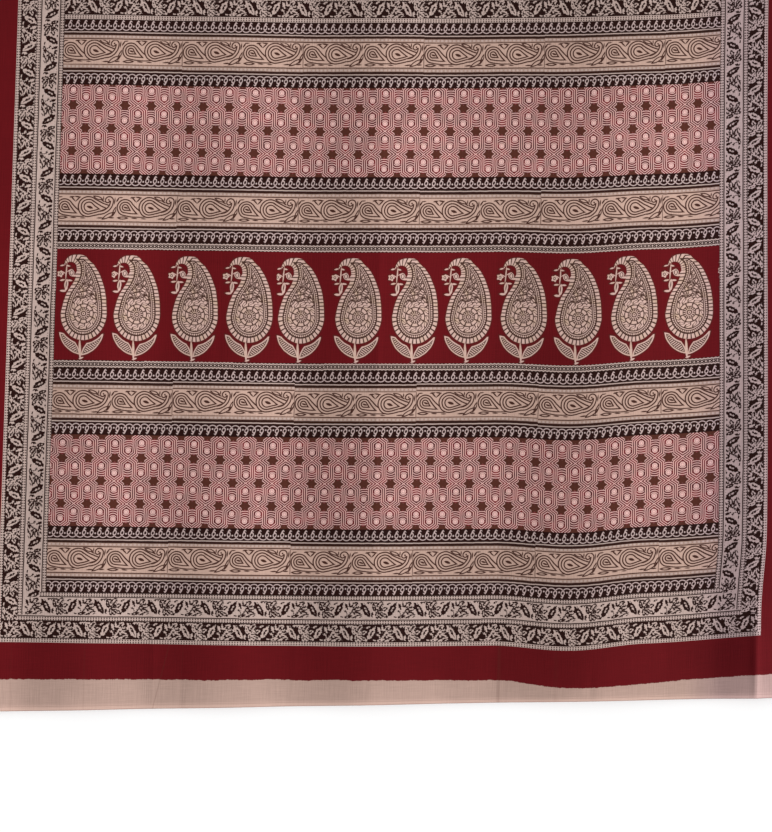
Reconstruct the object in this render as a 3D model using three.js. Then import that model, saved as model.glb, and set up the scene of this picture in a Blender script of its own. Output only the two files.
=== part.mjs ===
// A block-printed cotton saree, folded back and forth in five layers and laid flat,
// with its printed end panel face up on top.
// Millimetres. +X runs across the cloth, +Y from the hem towards the first fold, +Z up.
// The origin is at the middle of the footprint, on the surface that the cloth lies on.

import * as THREE from 'three';

// The cloth
const CLOTH_WIDTH = 1150;
const CLOTH_LENGTH = 5500;
const CLOTH_THICKNESS = 1.4;

// The fold stack
const LAYER_PITCH = 2.0;
const HEM_Y = -550;
const FAR_FOLD_Y = 564;
const NEAR_FOLD_Y = -536;
const ROW_LENGTH = 80;
const COLUMN_WIDTH = 26;
const TURN_STEPS = 5;

// One row for each layer, from the top down.
// lift: how much of the relief of the top layer it follows.
// foldShift: how far the fold at its far end stands beyond the plain fold line.
const LAYERS = [
  { lift: 1.0, foldShift: 0 },
  { lift: 0.6, foldShift: 0 },
  { lift: 0.32, foldShift: -4 },
  { lift: 0.12, foldShift: -3 },
  { lift: 0, foldShift: 0 },
];

// The cut hem climbs towards the right selvage, and the selvages lean as the cloth lies.
const HEM_SLOPE = 0.018;
const LEFT_LEAN = 0.035;
const RIGHT_LEAN = 0.012;

// Soft ridges of the top layer, which run from the hem to the first fold.
// across: where the crest meets the hem. drift: its sideways move by the fold.
// halfWidth: crest to foot. atHem, atFold: its height at either end.
const RIDGES = [
  { across: -414, drift: 12, halfWidth: 92, atHem: 3.2, atFold: 1.8 },
  { across: -215, drift: -8, halfWidth: 104, atHem: 3.6, atFold: 2.4 },
  { across: -12, drift: 0, halfWidth: 120, atHem: 4.4, atFold: 4.0 },
  { across: 296, drift: 26, halfWidth: 150, atHem: 6.0, atFold: 3.4 },
  { across: 519, drift: 14, halfWidth: 66, atHem: 4.8, atFold: 0.6 },
];

// Height of the middle of a layer over the surface, counted from the top layer down.
function layerHeight(layer) {
  return CLOTH_THICKNESS / 2 + (LAYERS.length - 1 - layer) * LAYER_PITCH;
}

// Walks the folded section from the hem to the hidden end, and gives pairs of points,
// one on the printed face and one on the back, as { printed: [y, z], back: [y, z] }.
function foldedSection() {
  const half = CLOTH_THICKNESS / 2;
  const turnRadius = LAYER_PITCH / 2;
  const pairs = [];
  let walked = 0;
  let startY = HEM_Y;
  LAYERS.forEach((layer, index) => {
    const outward = index % 2 === 0 ? 1 : -1;
    const isLast = index === LAYERS.length - 1;
    const foldLine = outward > 0 ? FAR_FOLD_Y : NEAR_FOLD_Y;
    const turnY = foldLine + outward * (layer.foldShift - turnRadius);
    const endY = isLast ? startY + outward * (CLOTH_LENGTH - walked) : turnY;
    const rows = Math.max(1, Math.round((Math.abs(endY - startY) * layer.lift) / ROW_LENGTH));
    const height = layerHeight(index);
    for (let row = 0; row <= rows; row += 1) {
      const y = startY + ((endY - startY) * row) / rows;
      pairs.push({ printed: [y, height + outward * half], back: [y, height - outward * half] });
    }
    walked += Math.abs(endY - startY);
    if (!isLast) {
      for (let step = 1; step < TURN_STEPS; step += 1) {
        const angle = (Math.PI * step) / TURN_STEPS;
        const reach = outward * Math.sin(angle);
        const centreZ = height - turnRadius;
        const printedRadius = turnRadius + outward * half;
        const backRadius = turnRadius - outward * half;
        pairs.push({
          printed: [endY + reach * printedRadius, centreZ + Math.cos(angle) * printedRadius],
          back: [endY + reach * backRadius, centreZ + Math.cos(angle) * backRadius],
        });
      }
      walked += Math.PI * turnRadius;
    }
    startY = endY;
  });
  return pairs;
}

// Raised cosine: 1 at the crest, 0 at the foot and beyond.
function softRidge(distance, halfWidth) {
  const reach = Math.min(1, Math.abs(distance) / halfWidth);
  return (1 + Math.cos(Math.PI * reach)) / 2;
}

// Relief of the top layer at a place on the cloth, in mm.
function topRelief(x, y) {
  const towardsFold = (y - HEM_Y) / (FAR_FOLD_Y - HEM_Y);
  return RIDGES.reduce((height, ridge) => {
    const crest = ridge.across + ridge.drift * towardsFold;
    const rise = ridge.atHem + (ridge.atFold - ridge.atHem) * towardsFold;
    return height + rise * softRidge(x - crest, ridge.halfWidth);
  }, 0);
}

// Share of the top relief that reaches a height in the flat stack:
// constant through a layer's thickness, and blended across the gap to the next one.
function liftAt(z) {
  const fromTop = (layerHeight(0) - z) / LAYER_PITCH;
  const upper = Math.min(LAYERS.length - 1, Math.max(0, Math.floor(fromTop)));
  const lower = Math.min(LAYERS.length - 1, upper + 1);
  const halfShare = CLOTH_THICKNESS / 2 / LAYER_PITCH;
  const acrossGap = (fromTop - upper - halfShare) / (1 - 2 * halfShare);
  return THREE.MathUtils.lerp(LAYERS[upper].lift, LAYERS[lower].lift, THREE.MathUtils.clamp(acrossGap, 0, 1));
}

// Takes a point of the flat, square stack to where it lies in the real one.
function layDown(x, y, z) {
  const side = x / CLOTH_WIDTH + 0.5;
  const lean = THREE.MathUtils.lerp(LEFT_LEAN, RIGHT_LEAN, side);
  return new THREE.Vector3(x + lean * y, y + HEM_SLOPE * x, z + topRelief(x, y) * liftAt(z));
}

// The closed solid of the cloth: columns of section pairs, joined across the width.
function foldedClothGeometry() {
  const pairs = foldedSection();
  const columns = Math.round(CLOTH_WIDTH / COLUMN_WIDTH);
  const positions = [];
  for (let column = 0; column <= columns; column += 1) {
    const x = CLOTH_WIDTH * (column / columns - 0.5);
    pairs.forEach((pair) => {
      positions.push(...layDown(x, ...pair.printed).toArray());
      positions.push(...layDown(x, ...pair.back).toArray());
    });
  }

  const printed = (column, row) => 2 * (column * pairs.length + row);
  const back = (column, row) => printed(column, row) + 1;
  const indices = [];
  const quad = (a, b, c, d) => indices.push(a, b, c, a, c, d);
  const lastRow = pairs.length - 1;
  for (let column = 0; column < columns; column += 1) {
    const next = column + 1;
    for (let row = 0; row < lastRow; row += 1) {
      quad(printed(column, row), printed(next, row), printed(next, row + 1), printed(column, row + 1));
      quad(back(column, row), back(column, row + 1), back(next, row + 1), back(next, row));
    }
    quad(back(column, 0), back(next, 0), printed(next, 0), printed(column, 0));
    quad(printed(column, lastRow), printed(next, lastRow), back(next, lastRow), back(column, lastRow));
  }
  for (let row = 0; row < lastRow; row += 1) {
    quad(back(0, row), printed(0, row), printed(0, row + 1), back(0, row + 1));
    quad(printed(columns, row), back(columns, row), back(columns, row + 1), printed(columns, row + 1));
  }

  const geometry = new THREE.BufferGeometry();
  geometry.setAttribute('position', new THREE.Float32BufferAttribute(positions, 3));
  geometry.setIndex(indices);
  geometry.computeBoundingBox();
  const middle = geometry.boundingBox.getCenter(new THREE.Vector3());
  geometry.translate(-middle.x, -middle.y, 0);
  geometry.computeVertexNormals();
  return geometry;
}

// Block-printed cotton: madder red, black and cream seen together.
const printedCotton = new THREE.MeshStandardMaterial({ color: 0x7d4a46, roughness: 0.9, metalness: 0 });

const saree = new THREE.Mesh(foldedClothGeometry(), printedCotton);
saree.name = 'saree';

const group = new THREE.Group();
group.add(saree);

export default group;
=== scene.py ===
"""A block-printed cotton saree, folded in five layers, with its printed end panel face up.

The cloth is one closed thin sheet. Its map "Cloth" holds the place on the flat length: across from
the left selvage and up from the cut hem. Its map "Print" holds the place in a printed band: along
its run and up from its lower or outer edge. Both are in metres, and the patterns are worked out
from them in millimetres.
"""

import logging
import math
from dataclasses import dataclass, field
from enum import Enum
from typing import Iterable, Optional, Sequence, Union

import bpy
import numpy as np
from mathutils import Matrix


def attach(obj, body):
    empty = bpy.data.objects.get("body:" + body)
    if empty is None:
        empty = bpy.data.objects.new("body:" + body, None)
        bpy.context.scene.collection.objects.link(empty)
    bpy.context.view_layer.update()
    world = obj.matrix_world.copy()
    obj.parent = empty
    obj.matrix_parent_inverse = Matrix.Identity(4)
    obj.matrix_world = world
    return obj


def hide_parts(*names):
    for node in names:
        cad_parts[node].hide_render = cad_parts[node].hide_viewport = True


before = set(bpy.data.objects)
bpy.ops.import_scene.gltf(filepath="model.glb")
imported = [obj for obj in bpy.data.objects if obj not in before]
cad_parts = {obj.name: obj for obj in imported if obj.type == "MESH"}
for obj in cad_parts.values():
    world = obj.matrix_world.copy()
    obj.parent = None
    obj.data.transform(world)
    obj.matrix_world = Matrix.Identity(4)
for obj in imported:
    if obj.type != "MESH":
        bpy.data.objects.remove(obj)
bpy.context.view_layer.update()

MM = 0.001
LOG = logging.getLogger("saree")

# Places on the cloth that are closer than this are the same one, in mm.
SAME_PLACE = 1e-3
# The corners of a face, as steps across and along, seen from the printed side.
CORNERS = ((0, 0), (1, 0), (1, 1), (0, 1))

Pair = tuple[float, float]
Number = Union[float, "Field"]
Array = np.ndarray


# Shapes of the folded cloth


@dataclass(frozen=True)
class Ridge:
    """A soft ridge of the top layer, from the hem to the first fold, in mm."""

    across: float
    drift: float
    half_width: float
    at_hem: float
    at_fold: float

    def height(self, x: Array, part: Array) -> Array:
        """Finds its height.

        Args:
            x: Places across the cloth.
            part: Parts of the way from the hem to the fold.

        Returns:
            The height at each place.
        """
        crest = self.across + self.drift * part
        rise = self.at_hem + (self.at_fold - self.at_hem) * part
        return rise * raised_cosine((x - crest) / self.half_width)


@dataclass(frozen=True)
class Crease:
    """A pressed line in the end panel, in mm: a ridge, or a trough where its height is negative."""

    across: float
    drift: float
    half_width: float
    height: float
    start: float
    end: float


RIDGES = (
    Ridge(across=-414, drift=12, half_width=92, at_hem=3.2, at_fold=1.8),
    Ridge(across=-215, drift=-8, half_width=104, at_hem=3.6, at_fold=2.4),
    Ridge(across=-12, drift=0, half_width=120, at_hem=4.4, at_fold=4.0),
    Ridge(across=296, drift=26, half_width=150, at_hem=6.0, at_fold=3.4),
    Ridge(across=519, drift=14, half_width=66, at_hem=4.8, at_fold=0.6),
)

CREASES = (
    Crease(across=-8, drift=-4, half_width=7, height=0.5, start=-40, end=1050),
    Crease(across=-311, drift=-4, half_width=8, height=0.5, start=-40, end=380),
    Crease(across=-272, drift=0, half_width=4, height=-0.3, start=-40, end=60),
    Crease(across=162, drift=6, half_width=12, height=-0.4, start=-40, end=430),
    Crease(across=294, drift=2, half_width=4, height=-0.3, start=-40, end=70),
    Crease(across=525, drift=-2, half_width=8, height=2.8, start=-60, end=170),
    Crease(across=-120, drift=10, half_width=6, height=0.25, start=-40, end=240),
    Crease(across=404, drift=-14, half_width=10, height=-0.3, start=-40, end=330),
)

# The long waves of the printed rows: a sag in the middle, a dip right of it, and a climb at the
# right selvage.
ROW_WAVES = (
    Ridge(across=0, drift=0, half_width=600, at_hem=-6.0, at_fold=-7.0),
    Ridge(across=265, drift=0, half_width=110, at_hem=-9.0, at_fold=0.0),
    Ridge(across=620, drift=0, half_width=260, at_hem=14.0, at_fold=14.0),
)


def raised_cosine(reach: Array) -> Array:
    """Gives 1 at a reach of 0, and falls softly to 0 at a reach of 1 and beyond."""
    return (1 + np.cos(np.pi * np.clip(np.abs(reach), 0, 1))) / 2


@dataclass(frozen=True)
class FoldedStack:
    """The cloth's way from the hem through five layers, with the relief of the top one, in mm."""

    width: float = 1150.0
    length: float = 5500.0
    cloth_thickness: float = 0.7
    pitch: float = 2.0
    hem_y: float = -550.0
    far_fold_y: float = 564.0
    near_fold_y: float = -536.0
    lifts: tuple[float, ...] = (1.0, 0.6, 0.32, 0.12, 0.0)
    fold_shifts: tuple[float, ...] = (0.0, 0.0, -4.0, -3.0, 0.0)
    hem_slope: float = 0.018
    left_lean: float = 0.035
    right_lean: float = 0.012
    # Where the middle of the flat, square stack stands in the frame.
    origin: Pair = (6.24, -7.35)
    # The print's own waves fade out between these distances from the hem.
    waves_fade: Pair = (980.0, 1080.0)
    # The distance from the hem at which the printed rows begin.
    print_from: float = 88.0
    # The right border's bulge: its reach, its middle above the hem, how far it runs down and up, and
    # where right of the middle it sets in and is whole.
    bulge_reach: float = 7.0
    bulge_middle: float = 240.0
    bulge_down: float = 130.0
    bulge_up: float = 700.0
    bulge_from: Pair = (340.0, 480.0)

    @property
    def turn_radius(self) -> float:
        """Gives the radius of a fold's turn at the middle of the cloth."""
        return self.pitch / 2

    def layer_height(self, index: int) -> float:
        """Gives the height of the middle of a layer, counted from the top one."""
        return self.cloth_thickness / 2 + (len(self.lifts) - 1 - index) * self.pitch

    def legs(self) -> list[tuple[float, float, float, float]]:
        """Lists the layers from the top down.

        Returns:
            For each layer its first distance from the hem, its first and last y, and its height.
        """
        rows = []
        start_t, start_y = 0.0, self.hem_y
        last = len(self.lifts) - 1
        for index, shift in enumerate(self.fold_shifts):
            outward = 1 if index % 2 == 0 else -1
            line = self.far_fold_y if outward > 0 else self.near_fold_y
            end_y = line + outward * (shift - self.turn_radius)
            if index == last:
                end_y = start_y + outward * (self.length - start_t)
            rows.append((start_t, start_y, end_y, self.layer_height(index)))
            start_t += abs(end_y - start_y) + math.pi * self.turn_radius
            start_y = end_y
        return rows

    def section(self, along: Array) -> tuple[Array, Array, Array, Array]:
        """Finds where distances from the hem lie in the flat stack.

        Args:
            along: Distances from the hem.

        Returns:
            The y and z of the cloth's middle, and the y and z of the printed face's direction.
        """
        y, z = np.zeros_like(along), np.zeros_like(along)
        turn_y, turn_z = np.zeros_like(along), np.ones_like(along)
        for index, (start_t, start_y, end_y, height) in enumerate(self.legs()):
            outward = 1 if index % 2 == 0 else -1
            end_t = start_t + abs(end_y - start_y)
            flat = along >= start_t
            y[flat] = start_y + outward * (along[flat] - start_t)
            z[flat] = height
            turn_y[flat], turn_z[flat] = 0.0, outward
            turn = along > end_t
            angle = np.clip((along[turn] - end_t) / self.turn_radius, 0, math.pi)
            y[turn] = end_y + outward * np.sin(angle) * self.turn_radius
            z[turn] = height - self.turn_radius * (1 - np.cos(angle))
            turn_y[turn] = np.sin(angle)
            turn_z[turn] = np.cos(angle) * outward
        return y, z, turn_y, turn_z

    def towards_fold(self, y: Array) -> Array:
        """Gives 0 at the hem and 1 at the first fold."""
        return (y - self.hem_y) / (self.far_fold_y - self.hem_y)

    def relief(self, x: Array, y: Array) -> Array:
        """Adds up the soft ridges of the top layer at places of the flat stack."""
        part = self.towards_fold(y)
        return sum(ridge.height(x, part) for ridge in RIDGES)

    def creases(self, x: Array, along: Array) -> Array:
        """Adds up the pressed lines of the end panel.

        Args:
            x: Places across the flat stack.
            along: Distances from the hem.

        Returns:
            The height at each place.
        """
        height = np.zeros_like(x)
        for crease in CREASES:
            middle, reach = (crease.start + crease.end) / 2, (crease.end - crease.start) / 2
            line = crease.across + crease.drift * (along - crease.start) / (2 * reach)
            keen = np.exp(-np.abs(x - line) / crease.half_width)
            height += crease.height * keen * raised_cosine((along - middle) / reach) ** 0.5
        return height

    def lift(self, z: Array) -> Array:
        """Finds how much of the top relief reaches a height in the flat stack.

        Args:
            z: The heights.

        Returns:
            The share at each height, from 0 to 1.
        """
        heights, shares = [], []
        for index, share in reversed(list(enumerate(self.lifts))):
            middle = self.layer_height(index)
            heights += [middle - self.cloth_thickness / 2, middle + self.cloth_thickness / 2]
            shares += [share, share]
        return np.interp(z, heights, shares)

    def print_rise(self, x: Array, along: Array) -> Array:
        """Finds how far the end panel's rows stand above a level row.

        Args:
            x: Places across the flat stack.
            along: Distances from the hem.

        Returns:
            The rise at each place.
        """
        rows = sum(wave.height(x, along / self.waves_fade[1]) for wave in ROW_WAVES)
        printed = np.clip(along / self.print_from, 0, 1)
        return self.hem_slope * x * (1 - printed) + rows * printed

    def bulge(self, x: Array, along: Array) -> Array:
        """Finds how far to the right the right border lies of a straight one.

        Args:
            x: Places across the flat stack.
            along: Distances from the hem.

        Returns:
            The move at each place.
        """
        inner, outer = self.bulge_from
        share = raised_cosine(1 - np.clip((x - inner) / (outer - inner), 0, 1))
        off = along - self.bulge_middle
        run = np.where(off < 0, self.bulge_down, self.bulge_up)
        return self.bulge_reach * share * raised_cosine(off / run)

    def lay_down(self, across: Array, along: Array, side: float) -> Array:
        """Takes places of the flat cloth to where they lie in the frame.

        Args:
            across: Distances from the left selvage.
            along: Distances from the hem.
            side: 1 for the printed face, -1 for the back.

        Returns:
            The points, in metres, with x, y and z in the last axis.
        """
        x = across - self.width / 2
        y, z, out_y, out_z = self.section(along)
        y = y + out_y * side * self.cloth_thickness / 2
        z = z + out_z * side * self.cloth_thickness / 2
        lean = self.left_lean + (self.right_lean - self.left_lean) * across / self.width
        fade_start, fade_end = self.waves_fade
        waves = 1 - np.clip((along - fade_start) / (fade_end - fade_start), 0, 1)
        rise = self.hem_slope * x * (1 - waves) + self.print_rise(x, along) * waves
        placed_x = x + lean * y + self.origin[0] + self.bulge(x, along)
        placed_y = y + rise + self.origin[1]
        pressed = self.creases(x, along) * (along < fade_end)
        placed_z = z + self.relief(x, y) * self.lift(z) + pressed
        return np.stack([placed_x, placed_y, placed_z], axis=-1) * MM


# Sums that a material works out at each point


def connect(tree: bpy.types.NodeTree, socket: bpy.types.NodeSocket, value: object) -> None:
    """Links a worked-out value to a socket, or writes a plain one on it.

    Args:
        tree: The material's nodes.
        socket: The socket that takes the value.
        value: A field, a spot, or a plain number, place or colour.
    """
    if isinstance(value, (Field, Spot)):
        tree.links.new(value.socket, socket)
    else:
        socket.default_value = value


def add_node(
    tree: bpy.types.NodeTree, kind: str, values: dict[Union[int, str], object], **settings: object
) -> bpy.types.Node:
    """Adds a node to a material.

    Args:
        tree: The material's nodes.
        kind: The kind of node, without the word that all kinds start with.
        values: What goes into its sockets, by their numbers or names.
        settings: Its settings.

    Returns:
        The node.
    """
    node = tree.nodes.new("ShaderNode" + kind)
    for name, setting in settings.items():
        setattr(node, name, setting)
    for key, value in values.items():
        connect(tree, node.inputs[key], value)
    return node


@dataclass(frozen=True)
class Field:
    """A number at each point of the cloth. A shape is its distance in mm, negative inside."""

    tree: bpy.types.NodeTree
    socket: bpy.types.NodeSocket

    def solve(self, operation: str, *others: Number, clamp: bool = False) -> "Field":
        """Works out one step of arithmetic.

        Args:
            operation: The name of the step.
            others: The other numbers that it takes.
            clamp: Keeps the result from 0 to 1.

        Returns:
            The result.
        """
        values = dict(enumerate((self, *others)))
        node = add_node(self.tree, "Math", values, operation=operation, use_clamp=clamp)
        return Field(self.tree, node.outputs[0])

    def __add__(self, other: Number) -> "Field":
        """Adds."""
        return self.solve("ADD", other)

    def __sub__(self, other: Number) -> "Field":
        """Subtracts."""
        return self.solve("SUBTRACT", other)

    def __mul__(self, other: Number) -> "Field":
        """Multiplies."""
        return self.solve("MULTIPLY", other)

    def __truediv__(self, other: Number) -> "Field":
        """Divides."""
        return self.solve("DIVIDE", other)

    def __neg__(self) -> "Field":
        """Turns a shape inside out."""
        return self.solve("MULTIPLY", -1.0)

    def size(self) -> "Field":
        """Drops the sign."""
        return self.solve("ABSOLUTE")

    def join(self, other: Number) -> "Field":
        """Joins two shapes."""
        return self.solve("MINIMUM", other)

    def within(self, other: Number) -> "Field":
        """Keeps what two shapes share."""
        return self.solve("MAXIMUM", other)

    def times_plus(self, factor: Number, extra: Number, clamp: bool = False) -> "Field":
        """Multiplies and adds in one step."""
        return self.solve("MULTIPLY_ADD", factor, extra, clamp=clamp)

    def wrapped(self, pitch: float) -> "Field":
        """Repeats a length, from minus half a pitch to half a pitch."""
        return self.solve("WRAP", pitch / 2, -pitch / 2)

    def outline(self, stroke: float) -> "Field":
        """Makes a line of the given width along a shape's edge."""
        return self.size() - stroke / 2

    def mask(self, blur: float = 0.6) -> "Field":
        """Turns a shape into 1 inside and 0 outside, with a soft edge of that many mm."""
        return self.times_plus(-1 / blur, 0.5, clamp=True)


@dataclass(frozen=True)
class Spot:
    """A place on the cloth, in mm, or a colour."""

    tree: bpy.types.NodeTree
    socket: bpy.types.NodeSocket

    def solve(self, operation: str, *others: object, number: bool = False) -> Union["Spot", Field]:
        """Works out one step with places.

        Args:
            operation: The name of the step.
            others: The other places that it takes.
            number: True where the result is a number.

        Returns:
            The resulting place or number.
        """
        values = dict(enumerate((self, *others)))
        node = add_node(self.tree, "VectorMath", values, operation=operation)
        if number:
            return Field(self.tree, node.outputs["Value"])
        return Spot(self.tree, node.outputs["Vector"])

    def scaled(self, factor: Number) -> "Spot":
        """Multiplies by one number."""
        node = add_node(self.tree, "VectorMath", {0: self, "Scale": factor}, operation="SCALE")
        return Spot(self.tree, node.outputs["Vector"])

    def axes(self) -> tuple[Field, Field]:
        """Splits a place into its two lengths."""
        x, y, _ = add_node(self.tree, "SeparateXYZ", {0: self}).outputs
        return Field(self.tree, x), Field(self.tree, y)

    def made_of(self, x: Number, y: Number) -> "Spot":
        """Makes a place from two lengths."""
        node = add_node(self.tree, "CombineXYZ", {0: x, 1: y})
        return Spot(self.tree, node.outputs[0])

    def moved(self, x: float, y: float) -> "Spot":
        """Measures from another origin."""
        return self.solve("SUBTRACT", (x, y, 0.0))

    def mirrored(self) -> "Spot":
        """Folds all four quarters on one."""
        return self.solve("ABSOLUTE")

    def far(self, at: Pair = (0.0, 0.0)) -> Field:
        """Gives the distance to a point."""
        return self.solve("DISTANCE", (*at, 0.0), number=True)

    def towards(self, x: float, y: float) -> Field:
        """Gives the length along a direction."""
        return self.solve("DOT_PRODUCT", (x, y, 0.0), number=True)

    def fitted(self, at: Pair, angle: float, scale: Pair) -> "Spot":
        """Measures in a shape's own axes.

        Args:
            at: The shape's middle.
            angle: The direction of its length, in degrees.
            scale: The lengths that count as 1 along and across it.

        Returns:
            The place in those axes.
        """
        turn = (0.0, 0.0, math.radians(angle))
        values = {"Vector": self, "Location": (*at, 0.0), "Rotation": turn, "Scale": (*scale, 1.0)}
        node = add_node(self.tree, "Mapping", values, vector_type="TEXTURE")
        return Spot(self.tree, node.outputs[0])

    def dot(self, at: Pair, radius: float) -> Field:
        """Draws a round dot."""
        return self.far(at) - radius

    def ring(self, at: Pair, radius: float, stroke: float) -> Field:
        """Draws a round line."""
        return self.dot(at, radius).outline(stroke)

    def oval(self, at: Pair, angle: float, length: float, width: float) -> Field:
        """Draws an oval with its length at an angle."""
        own = self.fitted(at, angle, (length / 2, width / 2))
        return own.far().times_plus(width / 2, -width / 2)

    def leaf(self, at: Pair, angle: float, length: float, width: float) -> Field:
        """Draws a leaf with two pointed ends.

        Args:
            at: Its middle.
            angle: The direction of its length, in degrees.
            length: From tip to tip.
            width: Its greatest width.

        Returns:
            The shape.
        """
        plump = 0.45
        sunk = (1 - plump**2) / (2 * plump)
        grain = width / 2 / plump
        own = self.fitted(at, angle, (length / 2, grain)).mirrored()
        return own.far((0.0, -sunk)).times_plus(grain, -grain * (sunk + plump))

    def drop(self, at: Pair, angle: float, spread: float, bend: float = 0.0) -> Field:
        """Measures out from a drop's middle: its equal lines are nested drops.

        Args:
            at: The middle of the round end.
            angle: The direction of the tail, in degrees.
            spread: The angle between the tail's middle and its sides, in degrees.
            bend: How far the tail bends to one side, for each square mm along it.

        Returns:
            The radius of the drop that passes through each point.
        """
        rise = math.radians(spread)
        along, across = self.fitted(at, angle, (1.0, 1.0)).axes()
        tail = along.solve("MAXIMUM", 0.0)
        side = (tail * tail).times_plus(bend, across)
        past = (side.size()).times_plus(-math.tan(rise), along).solve("MAXIMUM", 0.0)
        return past.times_plus(math.sin(rise), self.made_of(along - past, side).far())


def joined(shapes: Iterable[Field]) -> Field:
    """Joins any number of shapes.

    Args:
        shapes: The shapes.

    Returns:
        What lies in any of them.
    """
    first, *rest = shapes
    for shape in rest:
        first = first.join(shape)
    return first


# Dyes and the ways that they are printed


def light_of(share: float) -> float:
    """Gives the light that a share of a screen's colour stands for."""
    return share / 12.92 if share < 0.04 else ((share + 0.055) / 1.055) ** 2.4


@dataclass(frozen=True)
class Dye:
    """A dyed or bare cotton colour, as the eye sees it, from 0 to 255."""

    red: float
    green: float
    blue: float
    # The soft light on the cloth is this much brighter than a plain white.
    LIGHT_LEVEL = 1.17

    def albedo(self) -> tuple[float, float, float, float]:
        """Gives the colour that the surface itself has."""
        shares = (self.red, self.green, self.blue)
        return (*(light_of(value / 255) / self.LIGHT_LEVEL for value in shares), 1.0)


PALE = Dye(194, 170, 161)
BARE = Dye(182, 152, 140)
TAN = Dye(198, 165, 150)
BLACK = Dye(38, 15, 11)
BROWN = Dye(68, 38, 30)
DEEP_BROWN = Dye(50, 26, 20)
STAR_BROWN = Dye(84, 44, 34)
MADDER = Dye(98, 14, 20)
LATTICE_RED = Dye(80, 17, 21)
LATTICE_BRIGHT = Dye(142, 40, 46)
LATTICE_PINK = Dye(230, 187, 180)
PAISLEY_PALE = Dye(208, 174, 163)
PAISLEY_BROWN = Dye(64, 38, 30)
CHAIN_PALE = Dye(200, 175, 171)
PAISLEY_STAIN = Dye(186, 158, 124)
REVERSE = Dye(118, 44, 44)

# Painted shade and light along the cloth: how much darker or brighter its colours are painted, at
# distances from the hem in mm; under 1 is darker.
PAINTED_SHADE_ALONG = ((0.0, 1.05), (200.0, 0.92), (650.0, 1.02), (1000.0, 0.88))
# Painted cool shade: the right border is painted a little darker and bluer than the rest.
PAINTED_COOL_SHADE = (0.94, 0.92, 1.03)
PAINTED_COOL_SHADE_FROM = (1000.0, 1050.0)
# The left border is paler below a place: by how much, and where across and along it sets in.
PALER = 0.12
PALER_FROM = (90.0, 60.0)
PALER_BELOW = (680.0, 620.0)


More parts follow.
